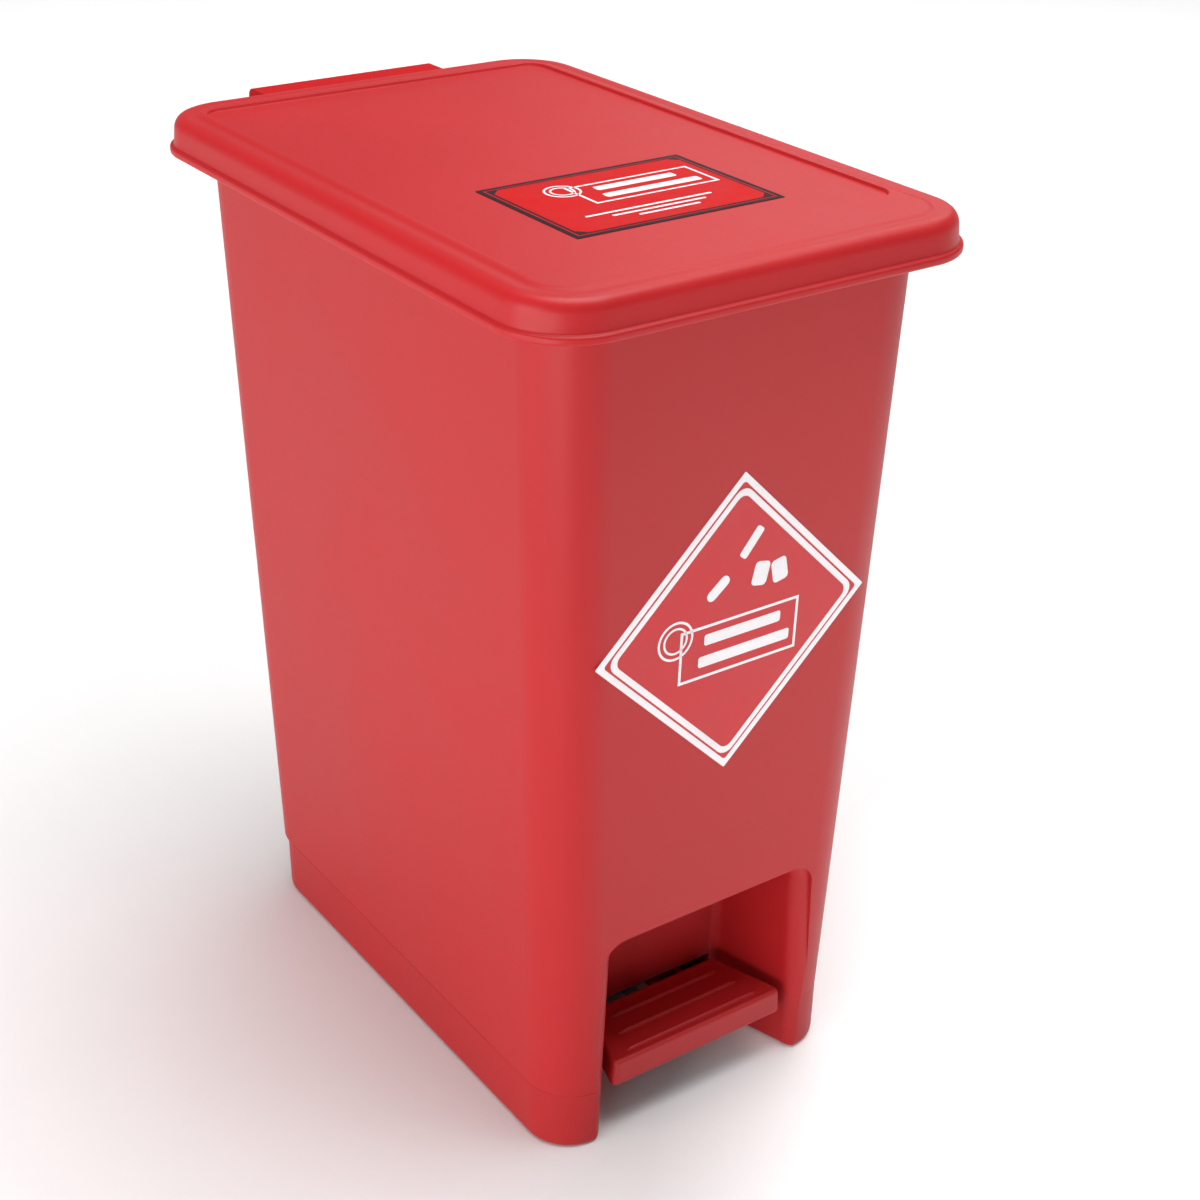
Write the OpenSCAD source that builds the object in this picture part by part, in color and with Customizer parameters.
// Slim pedal-operated clinical waste bin with a hinged lid.
// Origin at the centre of the footprint on the floor; front (pedal side) faces -Y, +Z up.

/* [Body] */
// Outer half width of the tub at its lower edge
tub_hw_low = 81.6; // [70:0.1:95]
// Outer half width of the tub just under the lid
tub_hw_high = 93; // [80:0.1:105]
// Outer half depth of the tub at its lower edge
tub_hd_low = 138.2; // [120:0.1:160]
// Outer half depth of the tub just under the lid
tub_hd_high = 147.4; // [125:0.1:170]
// Height of the joint between base frame and tub
base_top = 30; // [20:1:45]
// Height of the lid's lower edge
lid_z = 400; // [360:1:440]
// Wall thickness of the tub
wall = 2.5; // [1.6:0.1:4]
// Top of the inside floor
floor_top = 50; // [46:1:60]

/* [Lid] */
// Half width of the lid at its lower edge
lid_hw = 109; // [95:0.1:120]
// Half depth of the lid at its lower edge
lid_hd = 163.1; // [140:0.1:180]
// Corner radius of the lid
lid_r = 32; // [15:0.5:45]
// Wall thickness of the lid
lid_wall = 2.4; // [1.6:0.1:4]

/* [Pedal recess] */
// Height of the top of the recess
recess_top = 111.3; // [90:0.1:130]
// Half width of the recess at its mouth, near the top
recess_hw = 51; // [44:0.5:56]
// How much wider the mouth is at the floor, each side
recess_draft = 3.4; // [0:0.2:5]
// Half width of the recess at its back, near the top
recess_back_hw = 47.5; // [42:0.5:52]
// Half width of the recess at its back, at the floor
recess_back_low = 43; // [42:0.5:50]
// Radius where the recess walls run out to the front face
recess_fillet = 8; // [4:0.5:14]

/* [Mechanism] */
// Crank radius of the lid lugs
crank_r = 18; // [14:0.5:22]
// Half of the lid travel, degrees
half_travel = 37.5; // [30:0.5:40]
// Diameter of the push rod
rod_d = 4; // [3:0.5:6]
// Height of the pedal axle
axle_z = 23; // [20:0.5:28]
// Diameter of the pedal axle
axle_d = 6; // [4:0.5:8]

/* [Hidden] */
$fn = 32;
seg = 9;
tub_yc_low = -5.4;
tub_yc_high = -7.7;
tub_r_low = 24;
tub_r_high = 27;
lid_yc = -7.5;
slope = ((tub_hd_high + tub_yc_high) - (tub_hd_low + tub_yc_low)) / (lid_z - base_top);
front_slope = ((tub_hd_high - tub_yc_high) - (tub_hd_low - tub_yc_low)) / (lid_z - base_top);
rear_tilt = atan(slope);
front_tilt = atan(front_slope);
hinge_y = 163;
hinge_z = 405;
pin_y = hinge_y - crank_r * cos(half_travel);
pin_z = hinge_z - crank_r * sin(half_travel);
rod_y_top = hinge_y - crank_r * (1 + cos(half_travel)) / 2;
rod_y0 = rod_y_top - slope * pin_z;
link_z = 12;
run = 0.04;
rim_top = 404;
recess_back = -95.6;
foot_bosses = [[55, -60], [55, 95]];

// Mix of two numbers.
function mix(a, b, t) = a + (b - a) * t;

// One rounded rectangle as a ring of points, counter-clockwise from above.
function ring(z, w, d, r, yc) = [
    for (c = [0:3])
        for (i = [0:seg])
            let (a = 90 * c + 90 * i / seg, sx = (c == 0 || c == 3) ? 1 : -1, sy = (c < 2) ? 1 : -1)
                [sx * (w - r) + r * cos(a), yc + sy * (d - r) + r * sin(a), z]
];

// Closed solid through a list of rings with equal point counts.
module skin(rings) {
    n = len(rings[0]);
    m = len(rings);
    pts = [for (g = rings) for (p = g) p];
    low = [for (i = [0:n - 1]) i];
    high = [for (i = [0:n - 1]) (m - 1) * n + n - 1 - i];
    a = [for (k = [0:m - 2]) for (i = [0:n - 1]) [k * n + i, (k + 1) * n + i, (k + 1) * n + (i + 1) % n]];
    b = [for (k = [0:m - 2]) for (i = [0:n - 1]) [k * n + i, (k + 1) * n + (i + 1) % n, k * n + (i + 1) % n]];
    polyhedron(points = pts, faces = concat([low], a, b, [high]), convexity = 6);
}

// Sections given as [z, half width, half depth, corner radius, centre y].
module loft(list) {
    skin([for (s = list) ring(s[0], s[1], s[2], s[3], s[4])]);
}

// Tub section at height z, moved inwards by t.
function tub_at(z, t) =
    let (k = (z - base_top) / (lid_z - base_top))
        [z, mix(tub_hw_low, tub_hw_high, k) - t, mix(tub_hd_low, tub_hd_high, k) - t,
            max(2, mix(tub_r_low, tub_r_high, k) - t), mix(tub_yc_low, tub_yc_high, k)];

// Lid section from an inset and a height above the lid's lower edge.
function lid_at(t, h) = [lid_z + h, lid_hw - t, lid_hd - t, lid_r - t, lid_yc];

// Position of the tub's front and rear faces at height z.
function front_y(z) = tub_yc_low - tub_hd_low - front_slope * (z - base_top);
function rear_y(z) = tub_yc_low + tub_hd_low + slope * (z - base_top);
recess_front = front_y(40);

// Arch-shaped ring in the XZ plane at depth y: half width w under the corners, b at the foot.
function arch(y, w, b, top, r) = [
    for (p = concat(
        [[-b, -2]],
        [for (i = [0:seg]) [r - w - r * cos(90 * i / seg), top - r + r * sin(90 * i / seg)]],
        [for (i = [0:seg]) [w - r + r * sin(90 * i / seg), top - r + r * cos(90 * i / seg)]],
        [[b, -2]]
    )) [p[0], y, p[1]]
];

// Pedal recess with rounded side edges and splayed walls; g moves it outwards by a wall.
module recess(g) {
    f = recess_fillet;
    w = recess_hw + g;
    b = w + recess_draft;
    flare = [for (i = [0:5]) [recess_front + f - f * sin(18 * i), f * (1 - cos(18 * i))]];
    skin(concat(
        [arch(-190, w + f, b + 1.25 * f, recess_top + g, 11)],
        [for (i = [5:-1:0]) arch(flare[i][0], w + flare[i][1], b + 1.25 * flare[i][1], recess_top + g, 11)],
        [arch(recess_back + g, recess_back_hw + g, recess_back_low + g, recess_top - 1 + g, 11)]
    ));
}

// Cylinder along X centred on [0, y, z] from x0 to x1.
module bar(y, z, x0, x1, r) {
    translate([x0, y, z]) rotate([0, 90, 0]) cylinder(r = r, h = x1 - x0);
}

// Both mirror copies across the YZ plane.
module pair() {
    children();
    mirror([1, 0, 0]) children();
}

// Flat plate in the YZ plane from x0 to x1.
module plate(x0, x1, pts) {
    translate([x0, 0, 0]) rotate([90, 0, 90]) linear_extrude(x1 - x0) polygon(pts);
}

// Frame of the push rod: local z runs along the rod.
module rod_frame() {
    translate([0, rod_y0, 0]) rotate([-rear_tilt, 0, 0]) children();
}

module tub() {
    color([0.74, 0.13, 0.13])
    difference() {
        union() {
            difference() {
                union() {
                    loft([tub_at(base_top, 0), tub_at(rim_top - 6, 0), tub_at(rim_top - 3, -3.6), tub_at(rim_top, -3.6)]);
                    // hinge lugs behind the rear wall
                    pair() plate(31, 39, [[137.6, 374], [160, 386], [167.4, 397], [167.4, 405], [158.6, 405],
                        [158.6, 396.5], [137.6, 396.5]]);
                    pair() bar(hinge_y, hinge_z, 31, 39, 4.4);
                }
                difference() {
                    loft([tub_at(floor_top, wall), tub_at(rim_top + 2, wall)]);
                    recess(wall);
                }
                // open underside up to the floor
                difference() {
                    loft([tub_at(base_top - 1, wall), tub_at(floor_top - wall, wall)]);
                    difference() {
                        recess(wall);
                        translate([-60, -100, -5]) cube([120, 20, 39]);
                    }
                    // bosses for the base screws
                    for (p = foot_bosses)
                        pair() translate([p[0], p[1], base_top - 2]) cylinder(r = 5.5, h = floor_top);
                }
            }
        }
        recess(0);
        // opening behind the pedal for the lever
        translate([-41, -97, -5]) cube([82, 8, 39.5]);
        // rim notch for the crank lugs
        translate([-11, 139.9, 396]) cube([22, 12, 12]);
        // slot in the rear wall for the lever
        translate([-6.5, 126, 20]) cube([13, 12, 23]);
        // bush seats
        pair() bar(hinge_y, hinge_z, 30, 40, 3);
        // screw holes under the floor
        for (p = foot_bosses)
            pair() translate([p[0], p[1], base_top - 2]) cylinder(r = 1.75, h = 14);
        // screw holes for the rod cover
        rod_frame() for (z = [44, 368]) pair() translate([16.5, -12, z]) rotate([-90, 0, 0]) cylinder(r = 1.5, h = 8);
        // screw holes for the rod guides
        rod_frame() for (z = [120, 300]) pair() translate([8, -12, z]) rotate([-90, 0, 0]) cylinder(r = 1.2, h = 8);
    }
}

// Base frame section at height z, moved inwards by t.
function base_at(z, t) =
    [z, mix(81.2, 81.6, z / base_top) - t, mix(134.75, 136.15, z / base_top) - t, mix(22, 24, z / base_top) - t,
        mix(-7.65, -7.35, z / base_top)];

module base_frame() {
    color([0.66, 0.11, 0.11])
    difference() {
        union() {
            difference() {
                union() {
                    loft([base_at(0, 1.4), base_at(0.6, 0.5), base_at(1.8, 0), base_at(base_top, 0)]);
                    // spigot inside the tub
                    loft([[base_top - 2, 78.8, 127, 20, -3.5], [42, 78.9, 127.2, 20, -3.5]]);
                }
                difference() {
                    union() {
                        loft([base_at(-1, 3.4), base_at(base_top - 3, 5)]);
                        loft([[base_top - 4, 76.4, 124.6, 17.6, -3.5], [43, 76.5, 124.8, 17.6, -3.5]]);
                    }
                    intersection() {
                        recess(wall);
                        translate([-90, -160, -3]) cube([180, 160, base_top + 3]);
                    }
                    // webs that carry the axle
                    pair() translate([24, -95, 3]) cube([3.2, 225, 28]);
                    // cross ribs
                    for (y = [-60, 95]) pair() translate([26, y - 1.5, 3]) cube([56, 3, 24]);
                    // screw columns
                    for (p = foot_bosses)
                        pair() translate([p[0], p[1], 2]) cylinder(r = 6, h = base_top - 2);
                    pair() bar(0, axle_z, 22.6, 28.4, 6.5);
                }
            }
        }
        recess(0);
        // spigot does not enter the recess
        translate([-57.5, -160, base_top]) cube([115, 68, 20]);
        // opening behind the pedal, over a sill
        translate([-41, -100, 28]) cube([82, 12, 27]);
        translate([-23.9, -94, 28]) cube([47.8, 12, 31]);
        // slot in the sill for the lever
        translate([-6.5, -100, -5]) cube([13, 18, 60]);
        // lever slot in the rear wall
        translate([-6.5, 115, 4]) cube([13, 20, 40]);
        pair() bar(0, axle_z, 20, 32, axle_d / 2);
        for (p = foot_bosses) pair() {
            translate([p[0], p[1], -1]) cylinder(r = 1.75, h = 50);
            translate([p[0], p[1], -1]) cylinder(r = 3.8, h = 8);
        }
    }
}

// Outline of the lid's side as [inset, height], from the lower edge to the plateau.
lid_profile = [[0.5, 0], [0, 0.6], [0, 2.8], [0.5, 3.3], [1.8, 3.6], [2.5, 11.8], [3.2, 13.6],
    [4.5, 15.2], [6.6, 16.2], [9, 16.3], [12.5, 15.9], [14.4, 16.7], [16.6, 16.9]];

// Outer volume of the lid, swollen by g all round.
module lid_outer(g) {
    loft([for (p = lid_profile) lid_at(p[0] - g, p[1] + (p[1] > 10 ? g : 0))]);
}

module lid() {
    color([0.78, 0.16, 0.15])
    difference() {
        union() {
            difference() {
                lid_outer(0);
                loft([lid_at(lid_wall, -1), lid_at(lid_wall, 3), lid_at(lid_wall + 2, 4), lid_at(lid_wall + 2.6, 10.6),
                    lid_at(lid_wall + 4.4, 13)]);
            }
            // crank lugs under the rear edge
            pair() plate(5.2, 8.4, [[143, 412.9], [144.6, 395], [152.8, 395], [152.1, 412.9]]);
            pair() bar(pin_y, pin_z, 5.2, 8.4, 4.1);
        }
        // sunk panel on the top
        loft([[415.5, 90, 131.6, 8, 2.2], [418, 91.4, 133, 9.4, 2.2]]);
        pair() bar(pin_y, pin_z, 4, 10, 2);
        // way for the rod head through the rear edge
        translate([-5.1, 150.4, 399]) cube([10.2, 8, 5.2]);
        // holes for the housing screws
        pair() translate([20, 146, 407.5]) rotate([-90, 0, 0]) cylinder(r = 1.5, h = 14);
    }
}

module hinge_housing() {
    color([0.7, 0.12, 0.12])
    difference() {
        union() {
            difference() {
                // rounded block
                translate([-49, 0, 0]) rotate([90, 0, 90]) linear_extrude(98)
                    polygon([[150, 401], [155.8, 401], [155.8, 398.2], [169.2, 398.2], [170.6, 399.6],
                        [170.6, 411.6], [169.7, 413.8], [167.5, 414.7], [150, 414.7]]);
                translate([-46.6, 157.6, 390]) cube([93.2, 11, 22.5]);
            }
            pair() translate([20, 150, 407.5]) rotate([-90, 0, 0]) cylinder(r = 3.4, h = 10.5);
            pair() bar(hinge_y, hinge_z, 44.4, 48, 4.2);
        }
        lid_outer(0.03);
        // clearance for the fixed lugs
        pair() translate([29.8, 160, 390]) cube([10.4, 14, 20]);
        pair() bar(hinge_y, hinge_z, 40, 47.6, 2);
        pair() translate([20, 146, 407.5]) rotate([-90, 0, 0]) cylinder(r = 1.5, h = 13);
    }
}

module hinge_pin() {
    color([0.72, 0.72, 0.74]) bar(hinge_y, hinge_z, -47.4, 47.4, 2);
}

module hinge_clips() {
    color([0.6, 0.6, 0.62])
    pair() difference() {
        bar(hinge_y, hinge_z, 41.2, 42.4, 4);
        bar(hinge_y, hinge_z, 41, 42.6, 2);
    }
}

module hinge_bushes() {
    color([0.9, 0.9, 0.88])
    pair() difference() {
        union() {
            bar(hinge_y, hinge_z, 31, 39, 3);
            bar(hinge_y, hinge_z, 39, 40, 4.2);
        }
        bar(hinge_y, hinge_z, 30, 41, 2 + run);
    }
}

module housing_screws() {
    color([0.7, 0.7, 0.72])
    pair() translate([20, 0, 407.5]) rotate([-90, 0, 0]) {
        translate([0, 0, 150]) cylinder(r = 1.5, h = 8.4);
        difference() {
            translate([0, 0, 148.9]) cylinder(r = 2.8, h = 1.8);
            translate([-1.9, -0.35, 148]) cube([3.8, 0.7, 1.6]);
        }
    }
}

module crank_pin() {
    color([0.72, 0.72, 0.74]) bar(pin_y, pin_z, -8.9, 8.9, 2);
}

module lid_buffers() {
    color([0.15, 0.15, 0.16])
    for (y = [-120, 105]) pair() translate([94, y, rim_top]) cylinder(r = 3.2, h = 413 - rim_top);
}

module rod_head() {
    color([0.88, 0.88, 0.86])
    rod_frame() difference() {
        translate([-4.9, -5.8, 388.6]) cube([9.8, 11.6, 10.2]);
        translate([-6, -1.86, pin_z]) rotate([0, 90, 0]) cylinder(r = 2.42, h = 12);
        translate([-6, 1.86, pin_z]) rotate([0, 90, 0]) cylinder(r = 2.42, h = 12);
        translate([-6, -1.86, pin_z - 2.42]) cube([12, 3.72, 4.84]);
        translate([0, 0, 380]) cylinder(r = rod_d / 2, h = 11);
    }
}

module push_rod() {
    color([0.74, 0.74, 0.76])
    rod_frame() translate([0, 0, 21]) cylinder(r = rod_d / 2, h = 391 - 21);
}

module rod_foot() {
    color([0.88, 0.88, 0.86])
    rod_frame() difference() {
        translate([-6.2, -5.4, 6]) cube([12.4, 10.8, 21]);
        translate([-2.7, -7, 4]) cube([5.4, 14, 14.6]);
        translate([0, 0, 21]) cylinder(r = rod_d / 2, h = 8);
        translate([-8, 0, link_z]) rotate([0, 90, 0]) cylinder(r = 2, h = 16);
    }
}

module link_pin() {
    color([0.72, 0.72, 0.74])
    rod_frame() translate([-7, 0, link_z]) rotate([0, 90, 0]) cylinder(r = 2, h = 14);
}

module rod_guides() {
    color([0.88, 0.88, 0.86])
    rod_frame() for (z = [120, 300]) difference() {
        union() {
            translate([-10.6, -7.25, z - 4]) cube([21.2, 3, 8]);
            translate([-4.5, -7.25, z - 4]) cube([9, 11.4, 8]);
            pair() translate([8, -9.4, z]) rotate([-90, 0, 0]) cylinder(r = 1.2, h = 4);
        }
        translate([0, 0, z - 5]) cylinder(r = rod_d / 2 + run, h = 10);
    }
}

module rod_cover() {
    color([0.7, 0.12, 0.12])
    rod_frame() difference() {
        union() {
            translate([-13.4, -7.25, 6]) cube([26.8, 15.9, 380]);
            translate([-20.5, -7.25, 32]) cube([41, 2, 350]);
        }
        translate([-11.4, -9, -1]) cube([22.8, 15.6, 400]);
        // bevelled outer edges
        pair() translate([13.4, 8.63, -1]) rotate([0, 0, 45]) cube([2.4, 2.4, 800], center = true);
        for (z = [44, 368]) pair() translate([16.5, -12, z]) rotate([-90, 0, 0]) cylinder(r = 1.5, h = 10);
    }
}

module cover_screws() {
    color([0.7, 0.7, 0.72])
    rod_frame() for (z = [44, 368]) pair() translate([16.5, 0, z]) rotate([-90, 0, 0]) {
        translate([0, 0, -9.6]) cylinder(r = 1.5, h = 5);
        difference() {
            translate([0, 0, -5.27]) cylinder(r = 2.7, h = 1.8);
            translate([-1.9, -0.35, -4.1]) cube([3.8, 0.7, 2]);
        }
    }
}

module pedal_lever() {
    color([0.6, 0.6, 0.62])
    difference() {
        union() {
            // long side plate
            plate(-2.5, 2.5, [[-134, 29.6], [-134, 33], [-96, 33], [-20, 31], [0, 30.5], [20, 28],
                [135, 17], [140.4, 17], [144.6, 14.6], [145.4, 12], [144.6, 9.4], [140.4, 7],
                [130, 7], [20, 15], [0, 15.6], [-20, 17], [-96, 23], [-110, 28]]);
            // platform under the tread
            translate([-28, -134, 31]) cube([56, 27.4, 2]);
            bar(0, axle_z, -16, 16, 6.5);
        }
        bar(0, axle_z, -17, 17, axle_d / 2 + run);
        // slotted hole for the link pin
        bar(139.4, link_z, -4, 4, 2.06);
        bar(140.9, link_z, -4, 4, 2.06);
        translate([-4, 139.4, link_z - 2.06]) cube([8, 1.5, 4.12]);
        pair() translate([20, -118, 29]) cylinder(r = 1.6, h = 6);
    }
}

// Outline of the tread seen from above.
function tread_pts(g) = [[-48.2 + g, -141.8 + g], [48.2 - g, -141.8 + g], [49.8 - g, -139.9 + g],
    [38 - g, -103.4 - g], [-38 + g, -103.4 - g], [-49.8 + g, -139.9 + g]];

module pedal_tread() {
    color([0.68, 0.12, 0.12])
    difference() {
        union() {
            difference() {
                translate([0, 0, 26.2]) linear_extrude(13.2) polygon(tread_pts(0));
                translate([0, 0, 25]) linear_extrude(11) polygon(tread_pts(2.4));
            }
            // ribs on the tread
            for (k = [0:2])
                translate([-38 + 3.4 * k, -137.3 + 11.4 * k, 39]) cube([76 - 6.8 * k, 2.6, 1.6]);
            pair() translate([20, -118, 33]) cylinder(r = 4, h = 4);
        }
        pair() translate([20, -118, 30]) cylinder(r = 1.5, h = 7);
        // room for the lever behind the platform
        translate([-2.9, -109, 20]) cube([5.8, 12, 13.4]);
    }
}

module tread_screws() {
    color([0.7, 0.7, 0.72])
    pair() translate([20, -118, 0]) {
        translate([0, 0, 29.8]) cylinder(r = 1.5, h = 6.6);
        translate([0, 0, 29.2]) cylinder(r = 2.9, h = 1.8);
    }
}

module pedal_axle() {
    color([0.72, 0.72, 0.74]) bar(0, axle_z, -31, 31, axle_d / 2);
}

module axle_spacers() {
    color([0.9, 0.9, 0.88])
    pair() difference() {
        bar(0, axle_z, 16.2, 22.4, 5);
        bar(0, axle_z, 15, 23, axle_d / 2);
    }
}

module axle_clips() {
    color([0.6, 0.6, 0.62])
    pair() difference() {
        bar(0, axle_z, 28.6, 29.8, 5);
        bar(0, axle_z, 28, 31, axle_d / 2);
        translate([28, -1.5, axle_z - 7]) cube([3, 3, 6]);
    }
}

module base_screws() {
    color([0.7, 0.7, 0.72])
    for (p = foot_bosses) pair() translate([p[0], p[1], 0]) {
        translate([0, 0, 8]) cylinder(r = 1.75, h = 32);
        difference() {
            translate([0, 0, 4.6]) cylinder(r = 3.4, h = 2.4);
            translate([-2.6, -0.4, 4]) cube([5.2, 0.8, 1.6]);
        }
        translate([0, 0, 6.9]) cylinder(r = 1.75, h = 2);
    }
}

module front_label() {
    color([0.92, 0.9, 0.9])
    translate([0, front_y(254.5), 254.5]) rotate([90 + front_tilt, 0, 0]) rotate([0, 0, 45])
        translate([-49.5, -49.5, 0]) cube([99, 99, 0.4]);
}

module lid_label() {
    color([0.3, 0.3, 0.36])
    translate([-51 + 0.7, -70.1 - 36.5, 415.5]) cube([102, 73, 0.4]);
}

tub();
base_frame();
lid();
hinge_housing();
hinge_pin();
hinge_clips();
hinge_bushes();
housing_screws();
crank_pin();
lid_buffers();
rod_head();
push_rod();
rod_foot();
rod_guides();
rod_cover();
cover_screws();
link_pin();
pedal_lever();
pedal_tread();
tread_screws();
pedal_axle();
axle_spacers();
axle_clips();
base_screws();
front_label();
lid_label();
